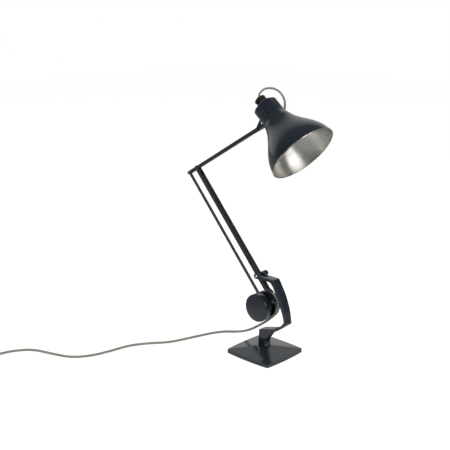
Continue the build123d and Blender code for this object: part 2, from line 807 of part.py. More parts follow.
# Flex
def flex_wire(points):
    """Straight runs joined by tangent arcs as large as the runs allow."""
    points = [Vector(p) for p in points]
    edges = []
    last = points[0]
    radii = []
    for i in range(1, len(points) - 1):
        back = points[i - 1] - points[i]
        ahead = points[i + 1] - points[i]
        half_turn = math.radians(180 - back.get_angle(ahead)) / 2
        reach = 0.45 * min(back.length, ahead.length)
        radius = reach / math.tan(half_turn)
        radii.append(radius)
        inside = (back.normalized() + ahead.normalized()).normalized()
        begin = points[i] + back.normalized() * reach
        middle = points[i] + inside * (radius / math.cos(half_turn) - radius)
        end = points[i] + ahead.normalized() * reach
        edges += [Line(last, begin), ThreePointArc(begin, middle, end)]
        last = end
    edges.append(Line(last, points[-1]))
    return Wire(edges), radii


def swept(wire, diameter, name):
    """Tube along a wire, with its volume compared to its section times its length."""
    body = sweep(Plane(origin=wire @ 0, z_dir=wire % 0) * Circle(diameter / 2), wire)
    expected = math.pi * diameter**2 / 4 * wire.length
    print(f"{name}: {wire.length:.0f} mm, volume {body.volume / expected:.4f} of section times length")
    return body


def gland_mouth():
    return gland_axis().origin + gland_axis().z_dir * gland_long


def mains_points():
    floor = flex_d / 2
    mouth, out = gland_mouth(), gland_axis().z_dir
    hanging = [
        mouth, mouth + out * 9.0, (37.1, 0, 148.9), (42.1, 0, 139.1), (43.6, 0, 128.1), (41.2, 0, 117.3),
        (35.1, 0, 108), (22.5, -0.2, 96.2), (8, -1, 83.5), (-11, -3, 69.5), (-34, -1, 54.5), (-60, 12, 39),
        (-88, 28.5, 21.5), (-109.5, 37.8, 9.8), (-128.5, 38.5, 3.6)]
    lying = [
        (-145.5, 31.8), (-159.5, 18), (-172, -7.5), (-187, -55), (-206, -121), (-240, -160), (-265, -203),
        (-272, -258), (-284, -306), (-312, -345), (-369, -365), (-418, -381), (-446, -423), (-453, -463),
        coil_start()]
    return hanging + [(x, y, floor) for x, y in lying]


def coil_start():
    return (-463.0, -490.0)


def coil_edges():
    """Spiral in on the table, up one layer in the tightest half turn, and out again."""
    step = coil_pitch / 2
    radii = [coil_inner_r + step * k for k in (3, 2, 1, 0, 1, 2, 3, 4)]
    travel = Vector(-0.347, -0.938, 0).normalized()
    outward = Vector(-travel.Y, travel.X, 0)
    place = Vector(*coil_start(), flex_d / 2)
    edges = [Line(place, place + travel * flex_d)]
    place = place + travel * flex_d
    side = 1
    for radius in radii:
        lift = coil_lift if radius == coil_inner_r else 0
        end = place - outward * (2 * radius * side) + Vector(0, 0, lift)
        middle = (place + end) * 0.5
        top = middle + travel * (side * (end - place).length / 2)
        edges.append(ThreePointArc(place, top, end))
        place = end
        side = -side
    edges.append(Line(place, place + travel * flex_d))
    return edges


def coil_gap(edges):
    """Least gap between turns of the coil, on points 1 mm apart."""
    points = []
    for edge in edges:
        count = max(2, round(edge.length))
        points += [edge @ (i / count) for i in range(count)]
    least = 1e9
    for i, here in enumerate(points):
        for there in points[i + 30:]:
            least = min(least, (here - there).length)
    return least - flex_d


def flex_coil():
    edges = coil_edges()
    print(f"coil: least gap {coil_gap(edges):.2f} mm between turns, {len(edges) - 2} half turns")
    return swept(Wire(edges), flex_d, "flex_coil")


def mains_flex():
    wire, radii = flex_wire(mains_points())
    print("mains_flex radii:", ", ".join(f"{r:.0f}" for r in radii))
    return swept(wire, flex_d, "mains_flex")


def head_flex_points():
    end = head_grommet_place() + Vector(0, upper_half + 0.4, 0)
    return [
        (-23.7, -2.6, 605.6), (-29.8, 1.5, 613.3), (-30.6, 7.8, 622.7), (-25.2, 14.6, 629.9),
        (-12.9, 21.3, 633.2), (2.3, 26.9, 629.8), (14.1, 31.8, 619.2), (19.4, 35.8, 603.9),
        (16.9, 38.2, 586.0), (9.6, 39.3, 571.0), (-6.0, 38.8, 556.0), (-22.5, 37.0, 544.5),
        (-39.0, 33.0, 535.0), end + Vector(0, 17.0, 0), end]


def head_flex():
    wire, radii = flex_wire(head_flex_points())
    print("head_flex radii:", ", ".join(f"{r:.0f}" for r in radii))
    return swept(wire, head_flex_d, "head_flex")


# Plug
def plug_frame():
    """Frame on the table under the plug, its X away from the flex."""
    last = coil_edges()[-1]
    travel = last % 1
    end = last @ 1
    return Plane(origin=(end.X, end.Y, 0), x_dir=travel, z_dir=(0, 0, 1)).location, end.Z


def plug_body():
    place, height = plug_frame()
    middle = plug_neck_long + plug_r - 1.5
    body = Pos(middle, 0, 0) * Cylinder(plug_r, plug_high, align=(Align.CENTER, Align.CENTER, Align.MIN))
    body = fillet(body.edges().sort_by(Axis.Z)[-1], plug_edge)
    body = fillet(body.edges().sort_by(Axis.Z)[0], 1.2)
    tip_r = flex_d / 2 + 0.5
    base = (Align.CENTER, Align.CENTER, Align.MIN)
    neck = Pos(0, 0, height) * Rot(0, 90, 0) * Cone(tip_r, plug_neck_r, plug_neck_long, align=base)
    root = Pos(plug_neck_long, 0, height) * Rot(0, 90, 0) * Cylinder(plug_neck_r, plug_r, align=base)
    return place * (body + neck + root)


def plug_pins():
    place, height = plug_frame()
    middle = plug_neck_long + plug_r - 1.5
    earth = middle - earth_pin_back / 2
    spots = [
        (earth, 0, earth_pin_r, earth_pin_long),
        (earth + earth_pin_back, plug_pin_apart / 2, plug_pin_r, plug_pin_long),
        (earth + earth_pin_back, -plug_pin_apart / 2, plug_pin_r, plug_pin_long)]
    pins = []
    for x, y, radius, long in spots:
        pin = Pos(x, y, plug_high) * Cylinder(radius, long, align=(Align.CENTER, Align.CENTER, Align.MIN))
        pins.append(place * fillet(pin.edges().sort_by(Axis.Z)[-1], radius * 0.4))
    return pins


# Export
def bulk(shape):
    return shape if isinstance(shape, list) else [shape]


pieces = {
    "base_casting": base_casting(), "base_felt": base_felt(), "swivel_washer": swivel_washer(),
    "stem_bracket": stem_bracket(), "swivel_stud": swivel_stud(), "swivel_nut": swivel_nut(),
    "pivot_bolt": pivot_bolt(), "pivot_washer_near": pivot_washer(-1), "pivot_washer_far": pivot_washer(1),
    "clamp_knob": clamp_knob(),
    "lower_arm_tube": lower_arm_tube(), "pivot_sleeve": pivot_sleeve(),
    "lower_arm_tongue": lower_arm_tongue(), "tongue_rivet": tongue_rivet(), "elbow_pin": elbow_pin(),
    "elbow_nut": hex_nut(elbow, 6.4, 2.6, elbow_pin_r, lower_half), "flex_gland": flex_gland(),
    "upper_arm_tube": upper_arm_tube(), "elbow_bush": elbow_bush(), "link_top_pin": link_top_pin(),
    "tilt_screw": tilt_screw(), "tilt_nut": hex_nut(tilt_pivot, 6.0, 2.4, tilt_pin_r, upper_half),
    "head_grommet": head_grommet(), "link_bar": link_bar(),
    "crank_plate_near": crank_plate(1), "crank_plate_far": crank_plate(-1), "weight_near": weight(-1),
    "weight_far": weight(1), "weight_studs": weight_studs(), "crank_pin": crank_pin(),
    "link_bottom_pin": link_bottom_pin(),
    "shade_bell": shade_bell(), "neck_housing": neck_housing(), "head_bracket": head_bracket(),
    "bracket_rivets": bracket_rivets(), "lampholder_body": lampholder_body(),
    "lampholder_ring": lampholder_ring(), "lampholder_cap": lampholder_cap(),
    "lampholder_contacts": lampholder_contacts(),
    "bulb_glass": bulb_glass(), "bulb_cap": bulb_cap(), "switch_bar": switch_bar(),
    "head_flex": head_flex(), "mains_flex": mains_flex(), "flex_coil": flex_coil(),
    "plug_body": plug_body(), "plug_pins": plug_pins(),
}
os.makedirs("parts", exist_ok=True)
for name, shape in pieces.items():
    whole = Compound(children=bulk(shape), label=name)
    export_step(whole, f"parts/{name}.step")
print(len(pieces), "pieces")
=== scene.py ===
"""Counterpoise desk lamp: cords, spun shade, bulb, finishes, floor, lamps and camera round its frame."""
import json
import math

import bmesh
import bpy
from mathutils import Matrix, Vector
from mathutils.geometry import interpolate_bezier


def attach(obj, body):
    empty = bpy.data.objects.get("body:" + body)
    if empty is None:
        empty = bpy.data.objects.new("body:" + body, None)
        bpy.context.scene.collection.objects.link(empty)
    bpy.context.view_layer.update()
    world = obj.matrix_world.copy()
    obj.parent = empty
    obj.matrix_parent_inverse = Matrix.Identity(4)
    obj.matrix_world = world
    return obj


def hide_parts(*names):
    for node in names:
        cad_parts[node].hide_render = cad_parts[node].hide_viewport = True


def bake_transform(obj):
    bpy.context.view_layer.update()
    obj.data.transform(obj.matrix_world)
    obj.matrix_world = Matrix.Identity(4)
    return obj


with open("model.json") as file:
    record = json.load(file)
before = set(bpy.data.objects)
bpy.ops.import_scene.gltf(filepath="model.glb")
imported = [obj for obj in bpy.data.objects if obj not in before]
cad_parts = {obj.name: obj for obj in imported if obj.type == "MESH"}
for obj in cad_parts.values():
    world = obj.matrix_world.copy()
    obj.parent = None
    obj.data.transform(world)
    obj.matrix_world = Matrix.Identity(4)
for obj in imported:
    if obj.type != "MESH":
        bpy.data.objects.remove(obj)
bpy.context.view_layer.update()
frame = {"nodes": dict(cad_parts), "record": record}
nodes = frame["nodes"]
scene = bpy.context.scene

# Shade's own frame: X up its axis from the rim, Y towards the arm
tilt_down = math.radians(40.3)
shade_up = Vector((-math.cos(tilt_down), 0, math.sin(tilt_down)))
shade_side = Vector((0, -1, 0))
rim_middle = Vector((0.1022, 0, 0.5010))
rim_r = 0.0787
neck_r = 0.0330
bell_high = 0.095
bell_wall = 0.0012
mouth_high = 0.0006       # where the bell's curves start, inside the bead
lip_high = 0.0374         # handles of those curves, outside and inside
lip_in = 0.0014
waist = (0.0620, 0.0424)
inner_lip_high = 0.0368
inner_waist = (0.0608, 0.0412)
bead_r = 0.0015
bead_high = 0.0003
collar_in = 0.00145       # bell's collar, inside the housing
collar_high = 0.006
collar_gap = 0.0003
housing_half = 0.0244
housing_square = 0.112
housing_top = 0.1486
housing_broad = 0.0263    # half width and corners of the three sides without the bracket
housing_corner = 0.0200
housing_blend = 0.023
housing_edge = 0.0055
taper = (neck_r - housing_half) / (housing_square - bell_high)   # of the side under the bracket
holder_r = 0.0135
cap_top = 0.1668
bulb_middle = 0.075
bulb_r = 0.0225
bulb_neck = (0.103, 0.0102)
steps_round = 96          # faces round each turned shape

# Camera, on the photograph's sight line
sight_turn = math.radians(43.75)
sight_rise = math.radians(15.55)
camera_far = 2.0
camera_right = -0.0958
camera_up = 0.3086
lens_mm = 66.16
sensor_mm = 36.0

# Finishes
paint_ior = 1.52
ring_stretch = (1, 0.02, 0.02)   # turning rings: fine along the shade's axis, drawn out across it
link_turn = (0, math.radians(-41.6), 0)

# Floor and light
floor_half = 6.0
room_fill = 0.55          # level of the white room, and the level that gloss sees on its shaded side
room_shade = 0.20
light_side = (-0.807, 0.591, -0.023)   # where gloss sees the room's bright side: behind the elbow

# Flexes
flex_d = 0.0058
head_flex_d = 0.0048
mains_hanging = [
    (0.02081, 0, 0.16024), (0.02894, 0, 0.15636), (0.0366, 0, 0.1493), (0.0407, 0, 0.1400),
    (0.0413, 0, 0.1297), (0.0385, 0, 0.1193), (0.0328, 0, 0.1096), (0.0212, -0.0002, 0.0975),
    (0.0069, -0.001, 0.0848), (-0.0118, -0.003, 0.0705), (-0.0345, -0.001, 0.0549),
    (-0.060, 0.012, 0.039), (-0.088, 0.0285, 0.0228), (-0.1095, 0.0378, 0.0122),
    (-0.1285, 0.0385, 0.0056)]
mains_lying = [
    (-0.1455, 0.0318), (-0.1595, 0.018), (-0.172, -0.0075), (-0.187, -0.055), (-0.206, -0.121),
    (-0.240, -0.160), (-0.265, -0.203), (-0.272, -0.258), (-0.284, -0.306), (-0.312, -0.345),
    (-0.369, -0.365), (-0.418, -0.381), (-0.446, -0.423), (-0.453, -0.463)]
coil_start = Vector((-0.463, -0.490, flex_d / 2))
coil_travel = Vector((-0.347, -0.938, 0)).normalized()
coil_outward = Vector((0.938, -0.347, 0)).normalized()
coil_radii = (0.0327, 0.0294, 0.0261, 0.0228, 0.0261, 0.0294, 0.0327, 0.0360)
coil_lift = 0.0065
coil_swell = 1.012        # a spline runs a little inside its points
points_per_half_turn = 7
head_route = [
    (-0.0237, -0.0026, 0.6056), (-0.0298, 0.0015, 0.6133), (-0.0306, 0.0078, 0.6227),
    (-0.0252, 0.0146, 0.6299), (-0.0129, 0.0213, 0.6332), (0.0023, 0.0269, 0.6298),
    (0.0141, 0.0318, 0.6192), (0.0194, 0.0358, 0.6039), (0.0169, 0.0382, 0.5860),
    (0.0096, 0.0393, 0.5720), (-0.0060, 0.0388, 0.5590), (-0.0220, 0.0370, 0.5490),
    (-0.0370, 0.0335, 0.5410), (-0.0478, 0.0225, 0.5325), (-0.0487, 0.0046, 0.5286)]


def shade_place():
    """Matrix from the shade's own frame to the lamp's."""
    toward_arm = shade_side.cross(shade_up)
    turn = Matrix((shade_up, toward_arm, shade_side)).transposed()
    return Matrix.Translation(rim_middle) @ turn.to_4x4()


# Camera
def set_camera():
    """Camera three quarters from the front and a little above."""
    level = math.cos(sight_rise)
    right = Vector((math.cos(sight_turn), math.sin(sight_turn), 0))
    back = Vector((math.sin(sight_turn) * level, -math.cos(sight_turn) * level, math.sin(sight_rise)))
    up = back.cross(right)
    lens = bpy.data.cameras.new("camera")
    lens.sensor_width = sensor_mm
    lens.lens = lens_mm
    camera = bpy.data.objects.new("camera", lens)
    scene.collection.objects.link(camera)
    spot = right * camera_right + up * camera_up + back * camera_far
    camera.matrix_world = Matrix.Translation(spot) @ Matrix((right, up, back)).transposed().to_4x4()
    scene.camera = camera


# Finishes
def add_node(tree, kind, sockets, **settings):
    """A shader node with its settings, each socket linked where the value is a socket, or else set."""
    made = tree.nodes.new("ShaderNode" + kind)
    for setting, value in settings.items():
        setattr(made, setting, value)
    for socket, value in sockets.items():
        if isinstance(value, bpy.types.NodeSocket):
            tree.links.new(value, made.inputs[socket])
        else:
            made.inputs[socket].default_value = value
    return made


class Finish:
    """One material with its shader, and short ways to add the nodes that feed it."""

    def __init__(self, name, **sockets):
        self.material = bpy.data.materials.new(name)
        self.material.use_nodes = True
        self.tree = self.material.node_tree
        self.shader = self.tree.nodes["Principled BSDF"]
        for socket, value in sockets.items():
            self.shader.inputs[socket.replace("_", " ")].default_value = value

    def node(self, kind, sockets, **settings):
        return add_node(self.tree, kind, sockets, **settings)

    def feed(self, socket, value):
        self.tree.links.new(value, self.shader.inputs[socket])

    def place(self, stretch=(1, 1, 1), turn=(0, 0, 0), middle=(0, 0, 0)):
        """Object coordinates, measured from middle along turned axes."""
        seen = self.node("TexCoord", {}).outputs["Object"]
        sockets = {"Vector": seen, "Location": middle, "Rotation": turn}
        moved = self.node("Mapping", sockets, vector_type="TEXTURE")
        sized = self.node("Mapping", {"Vector": moved.outputs[0], "Scale": stretch})
        return sized.outputs[0]

    def grain(self, place, scale, detail=3.0, rough=0.55):
        sockets = {"Vector": place, "Scale": scale, "Detail": detail, "Roughness": rough}
        return self.node("TexNoise", sockets).outputs[0]

    def specks(self, place, scale, size):
        """1 in small scattered spots, 0 between them."""
        near = self.node("TexVoronoi", {"Vector": place, "Scale": scale}).outputs["Distance"]
        return self.rescale(near, size, size * 0.6, 0, 1)

    def rescale(self, value, low, high, start=0.0, end=1.0):
        sockets = {"Value": value, "From Min": low, "From Max": high, "To Min": start, "To Max": end}
        return self.node("MapRange", sockets).outputs[0]

    def reckon(self, operation, first, second=0.0):
        return self.node("Math", {0: first, 1: second}, operation=operation).outputs[0]

    def plus(self, first, second):
        return self.reckon("ADD", first, second)

    def times(self, first, second):
        return self.reckon("MULTIPLY", first, second)

    def mix(self, amount, first, second):
        made = self.node("Mix", {0: amount}, data_type="RGBA")
        for index, colour in ((6, first), (7, second)):
            if isinstance(colour, bpy.types.NodeSocket):
                self.tree.links.new(colour, made.inputs[index])
            else:
                made.inputs[index].default_value = (*colour, 1)
        return made.outputs[2]

    def relief(self, height, depth, below=None):
        """Bump of a height from 0 to 1 that stands depth metres tall, over another bump if one is given."""
        sockets = {"Height": height, "Distance": depth, "Strength": 1.0}
        if below:
            sockets["Normal"] = below
        return self.node("Bump", sockets).outputs[0]

    def edges(self, radius):
        """1 where a sharp corner lies within the radius, 0 on open faces."""
        soft = self.node("Bevel", {"Radius": radius}, samples=4).outputs[0]
        flat = self.node("NewGeometry", {}).outputs["Normal"]
        turned = self.node("VectorMath", {0: soft, 1: flat}, operation="DOT_PRODUCT").outputs["Value"]
        return self.rescale(turned, 0.97, 0.80)

    def upward(self):
        """1 on faces that look up, where dust settles."""
        normal = self.node("NewGeometry", {}).outputs["Normal"]
        tall = self.node("SeparateXYZ", {0: normal}).outputs["Z"]
        return self.rescale(tall, 0.35, 1.0)


def dusty_navy(paint, place, cloud_scale, dust_scale):
    """Tone of the blue black paint with its faint clouds and dust, and where that dust lies."""
    cloud = paint.rescale(paint.grain(place, cloud_scale, 4), 0.3, 0.7)
    tone = paint.mix(cloud, (0.0040, 0.0085, 0.0135), (0.0075, 0.0135, 0.0205))
    dust = paint.times(paint.upward(), paint.rescale(paint.grain(place, dust_scale, 5), 0.40, 0.75))
    return paint.mix(paint.times(dust, 0.06), tone, (0.22, 0.21, 0.19)), dust


def smeared(paint, place, scale, gloss, dust):
    """Roughness of the paint: smears over its gloss, duller under dust."""
    smear = paint.rescale(paint.grain(place, scale, 6, 0.65), 0.35, 0.75, gloss, gloss + 0.10)
    return paint.plus(smear, paint.times(dust, 0.18))


def peel(paint, place, below):
    """The fine orange peel of sprayed paint, over another bump."""
    return paint.relief(paint.grain(place, 500, 2), 0.000003, below)


def enamel(name, ripple, ripple_depth, gloss):
    """Gloss stove enamel, blue black, with smears, dust and rubbed corners."""
    paint = Finish(name, IOR=paint_ior)
    place = paint.place()
    tone, dust = dusty_navy(paint, place, 22, 160)
    rub = paint.times(paint.edges(0.0007), paint.rescale(paint.grain(place, 240, 4), 0.42, 0.62))
    tone = paint.mix(paint.times(rub, 0.55), tone, (0.060, 0.062, 0.066))
    paint.feed("Base Color", tone)
    rough = smeared(paint, place, 34, gloss, dust)
    paint.feed("Roughness", paint.plus(rough, paint.times(rub, 0.2)))
    waves = paint.relief(paint.grain(place, ripple, 2), ripple_depth)
    paint.feed("Normal", peel(paint, place, waves))
    return paint.material


def spun_enamel():
    """The shade's enamel: the same paint over faint rings of the spinning."""
    paint = Finish("shade_enamel", IOR=paint_ior)
    place = paint.place(middle=rim_middle, turn=shade_place().to_euler())
    tone, dust = dusty_navy(paint, place, 16, 150)
    chips = paint.specks(place, 95, 0.10)
    near_rim = paint.rescale(paint.node("SeparateXYZ", {0: place}).outputs["X"], 0.006, 0.0)
    tone = paint.mix(paint.times(chips, near_rim), tone, (0.11, 0.11, 0.11))
    paint.feed("Base Color", tone)
    paint.feed("Roughness", smeared(paint, place, 30, 0.09, dust))
    rings = paint.grain(paint.place(ring_stretch, shade_place().to_euler(), rim_middle), 260, 3)
    paint.feed("Normal", peel(paint, place, paint.relief(rings, 0.00002)))
    return paint.material


def satin_lining():
    """Inside of the shade: satin aluminium with turning rings, darker and browner towards the neck and warm
    at the mouth.
    """
    lining = Finish("satin_lining", Metallic=1.0, Anisotropic=0.85)
    lining.feed("Tangent", lining.node("Tangent", {}, direction_type="UV_MAP", uv_map="spin").outputs[0])
    place = lining.place(middle=rim_middle, turn=shade_place().to_euler())
    depth = lining.node("SeparateXYZ", {0: place}).outputs["X"]
    blotch = lining.rescale(lining.grain(place, 28, 5, 0.6), 0.3, 0.7)
    tone = lining.mix(blotch, (0.56, 0.55, 0.52), (0.68, 0.67, 0.645))
    tone = lining.mix(lining.rescale(depth, 0.018, 0.0, 0, 0.5), tone, (0.60, 0.56, 0.47))
    # darker and browner towards the neck, deep in the bell
    tone = lining.mix(lining.rescale(depth, 0.045, 0.092, 0, 0.6), tone, (0.42, 0.38, 0.31))
    lining.feed("Base Color", tone)
    rings = lining.grain(lining.place(ring_stretch, shade_place().to_euler(), rim_middle), 420, 4)
    turned = lining.rescale(rings, 0.3, 0.7, 0.31, 0.38)
    dulled = lining.rescale(lining.grain(place, 60, 4), 0.4, 0.7, 0.0, 0.08)
    lining.feed("Roughness", lining.plus(turned, dulled))
    lining.feed("Normal", lining.relief(rings, 0.00001))
    return lining.material


def rim_metal():
    """Rolled bead at the mouth: enamel rubbed through to the aluminium."""
    rim = Finish("rim_metal", Metallic=1.0)
    place = rim.place()
    wear = rim.rescale(rim.grain(place, 90, 5), 0.35, 0.65)
    rim.feed("Base Color", rim.mix(wear, (0.20, 0.20, 0.20), (0.62, 0.61, 0.58)))
    rim.feed("Roughness", rim.rescale(rim.grain(place, 300, 4), 0.3, 0.7, 0.28, 0.45))
    rim.feed("Normal", rim.relief(rim.grain(place, 500, 3), 0.00001))
    return rim.material


def metal(name, dull, bright, rough, stretch=(1, 1, 1), turn=(0, 0, 0)):
    """Bare or plated metal with drawn lines, tarnish in spots and polished corners."""
    made = Finish(name, Metallic=1.0)
    place = made.place()
    lines = made.grain(made.place(stretch, turn), 900, 4)
    spots = made.rescale(made.grain(place, 130, 5, 0.6), 0.35, 0.68)
    tone = made.mix(spots, dull, bright)
    worn = made.edges(0.0004)
    polished = [min(1, c * 1.25) for c in bright]
    made.feed("Base Color", made.mix(made.times(worn, 0.5), tone, polished))
    drawn = made.rescale(lines, 0.3, 0.7, rough, rough + 0.12)
    made.feed("Roughness", made.plus(drawn, made.rescale(spots, 0, 1, 0.14, 0.0)))
    made.feed("Normal", made.relief(lines, 0.000012))
    return made.material


def bakelite():
    """Moulded phenolic: brown black with a faint swirl, flow marks and dulled corners."""
    moulded = Finish("bakelite", IOR=1.6)
    place = moulded.place()
    sockets = {"Vector": place, "Scale": 55, "Detail": 5, "Distortion": 1.6}
    swirl = moulded.node("TexNoise", sockets).outputs[0]
    tone = moulded.mix(moulded.rescale(swirl, 0.42, 0.66), (0.0060, 0.0052, 0.0050), (0.0150, 0.0105, 0.0085))
    rub = moulded.edges(0.0006)
    moulded.feed("Base Color", moulded.mix(moulded.times(rub, 0.35), tone, (0.07, 0.05, 0.04)))
    haze = moulded.rescale(moulded.grain(place, 70, 6, 0.65), 0.35, 0.75, 0.20, 0.38)
    moulded.feed("Roughness", moulded.plus(haze, moulded.times(rub, 0.15)))
    moulded.feed("Normal", moulded.relief(moulded.grain(place, 420, 3), 0.00001))
    return moulded.material


def rubber():
    """Old black rubber, greyed and finely pitted."""
    aged = Finish("rubber", IOR=1.5)
    place = aged.place()
    bloom = aged.rescale(aged.grain(place, 120, 5, 0.6), 0.35, 0.7)
    aged.feed("Base Color", aged.mix(bloom, (0.018, 0.018, 0.018), (0.055, 0.053, 0.050)))
    aged.feed("Roughness", aged.rescale(bloom, 0, 1, 0.55, 0.78))
    aged.feed("Normal", aged.relief(aged.grain(place, 900, 3), 0.00003))
    return aged.material


def felt():
    """Pressed wool felt, dark green grey, with loose fibres."""
    wool = Finish("felt", Sheen_Weight=0.35, Sheen_Roughness=0.5, Roughness=0.95)
    place = wool.place()
    fibre = wool.node("TexNoise", {"Vector": place, "Scale": 900, "Detail": 6, "Distortion": 2.5}).outputs[0]
    worn = wool.rescale(wool.grain(place, 40, 4), 0.35, 0.7)
    tone = wool.mix(fibre, (0.012, 0.016, 0.013), (0.050, 0.058, 0.048))
    wool.feed("Base Color", wool.mix(wool.times(worn, 0.4), tone, (0.085, 0.085, 0.075)))
    wool.feed("Normal", wool.relief(fibre, 0.0003))
    return wool.material


def pearl_glass():
    """Pearl bulb: glass etched on its inner side, with a faint dusting."""
    glass = Finish("pearl_glass", Transmission_Weight=0.8, IOR=1.5)
    place = glass.place()
    etch = glass.grain(place, 1200, 3)
    dust = glass.rescale(glass.grain(place, 60, 5), 0.45, 0.75)
    glass.feed("Base Color", glass.mix(dust, (0.93, 0.93, 0.91), (0.82, 0.81, 0.77)))
    glass.feed("Roughness", glass.rescale(dust, 0, 1, 0.34, 0.46))
    glass.feed("Normal", glass.relief(etch, 0.000008))
    return glass.material


def braid(name, pitch, strands):
    """Cotton braid over the flex: crossing diagonal strands with painted shade in the hollows between them,
    from UVs in metres along and turns around.
    """
    cotton = Finish(name, Roughness=0.85, Sheen_Weight=0.25, Sheen_Roughness=0.4)
    along_round = cotton.node("SeparateXYZ", {0: cotton.node("UVMap", {}, uv_map="braid").outputs[0]})
    along = cotton.times(along_round.outputs["X"], strands / pitch * math.tau)
    around = cotton.times(along_round.outputs["Y"], strands * math.tau)
    left = cotton.reckon("SINE", cotton.plus(along, around))
    right = cotton.reckon("SINE", cotton.reckon("SUBTRACT", along, around))
    weave_and_shade = cotton.rescale(cotton.times(left, right), -1, 1)
    place = cotton.place()
    fibre = cotton.grain(place, 2600, 3)
    grime = cotton.rescale(cotton.grain(place, 26, 5, 0.6), 0.35, 0.75)
    # painted shade: the yarn's tone darkens where the weave is low, in the hollows between the strands
    yarn_and_shade = cotton.mix(weave_and_shade, (0.130, 0.122, 0.102), (0.340, 0.322, 0.275))
    yarn_and_shade = cotton.mix(cotton.times(fibre, 0.35), yarn_and_shade, (0.46, 0.435, 0.37))
    cotton.feed("Base Color", cotton.mix(cotton.times(grime, 0.35), yarn_and_shade, (0.13, 0.115, 0.095)))
    threads = cotton.relief(weave_and_shade, 0.0003)
    cotton.feed("Normal", cotton.relief(fibre, 0.00008, threads))
    return cotton.material


# Pieces
def as_mesh(piece):
    graph = bpy.context.evaluated_depsgraph_get()
    return bpy.data.meshes.new_from_object(piece.evaluated_get(graph), depsgraph=graph)


def put(name, mesh, finishes):
    """An object in the scene from a finished mesh, with its finishes in slot order."""
    piece = bpy.data.objects.new(name, mesh)
    scene.collection.objects.link(piece)
    for finish in finishes:
        mesh.materials.append(finish)
    return piece


def from_bmesh(name, shape, finishes, smooth_angle=math.radians(40)):
    mesh = bpy.data.meshes.new(name)
    shape.to_mesh(mesh)
    shape.free()
    for face in mesh.polygons:
        face.use_smooth = True
    mesh.set_sharp_from_angle(angle=smooth_angle)
    return put(name, mesh, finishes)


def coil_route():
    """Control points of the put-away turns: half circles in, up a layer in the smallest, and out."""
    route = []
    place = coil_start + coil_travel * flex_d
    side = 1
    for radius in coil_radii:
        lift = coil_lift if radius == min(coil_radii) else 0.0
        middle = place - coil_outward * radius * side
        for step in range(points_per_half_turn):
            angle = math.pi * (step + 0.5) / points_per_half_turn
            reach = radius * coil_swell
            spot = middle + coil_outward * (side * reach * math.cos(angle)) + coil_travel * (
                side * reach * math.sin(angle))
            route.append(spot + Vector((0, 0, lift * (1 - math.cos(angle)) / 2)))
        place = place - coil_outward * (2 * radius * side) + Vector((0, 0, lift))
        side = -side
    return [coil_start] + route + [place, place + coil_travel * flex_d]


def lead(name, route, diameter, finish):
    """Braided flex on one smooth spline. Its U is the distance from its start, its V the turn round it."""
    line = bpy.data.curves.new(name + "_line", "CURVE")
    line.dimensions = "3D"
    line.resolution_u = 12
    spline = line.splines.new("NURBS")
    spline.points.add(len(route) - 1)
    for point, spot in zip(spline.points, route):
        point.co = (*spot, 1)
    spline.order_u = 3
    spline.use_endpoint_u = True
    guide = bpy.data.objects.new(name + "_line", line)
    scene.collection.objects.link(guide)
    path = [v.co.copy() for v in as_mesh(guide).vertices]
    line.bevel_depth = diameter / 2
    line.bevel_resolution = 4
    line.use_fill_caps = True
    tube = as_mesh(guide)
    bpy.data.objects.remove(guide)
    reach = [0.0]
    for here, there in zip(path, path[1:]):
        reach.append(reach[-1] + (there - here).length)
    tube.uv_layers[0].name = "braid"
    for corner in tube.uv_layers[0].data:
        step = corner.uv[0] * (len(path) - 1)
        corner.uv = (reach[min(len(path) - 1, round(step))], corner.uv[1])
    for face in tube.polygons:
        face.use_smooth = True
    piece = put(name, tube, [finish])
    print(f"{name}: {reach[-1]:.3f} m, {len(path)} points")
    return piece, path, reach[-1]


def spin_profile(shape, profile, slot):
    """Turns a line of (height, radius) points round the X axis, with that finish slot."""
    verts = [shape.verts.new((high, radius, 0)) for high, radius in profile]
    edges = [shape.edges.new(pair) for pair in zip(verts, verts[1:])]
    before = set(shape.faces)
    bmesh.ops.spin(shape, geom=verts + edges, cent=(0, 0, 0), axis=(1, 0, 0), angle=math.tau,
                   steps=steps_round, use_merge=True)
    for face in set(shape.faces) - before:
        face.material_index = slot


def curve_profile(start, lean_out, lean_in, end, count):
    points = interpolate_bezier(*[Vector((*p, 0)) for p in (start, lean_out, lean_in, end)], count)
    return [(p.x, p.y) for p in points]


def lay_uv(shape):
    """UV map of a spun shape: distance up the axis, and the turn round it."""
    layer = shape.loops.layers.uv.new("spin")
    for face in shape.faces:
        middle = face.calc_center_median()
        facing = math.atan2(middle.z, middle.y)
        for loop in face.loops:
            turn = math.atan2(loop.vert.co.z, loop.vert.co.y)
            turn += math.tau * round((facing - turn) / math.tau)
            loop[layer].uv = (loop.vert.co.x * 10, turn / math.tau)


def finish_shell(shape):
    """Closes the poles and joints of a spun shape, turns its faces out and puts it in the shade's place."""
    bmesh.ops.remove_doubles(shape, verts=shape.verts, dist=0.00001)
    bmesh.ops.recalc_face_normals(shape, faces=shape.faces)
    bmesh.ops.transform(shape, matrix=shade_place(), verts=shape.verts)


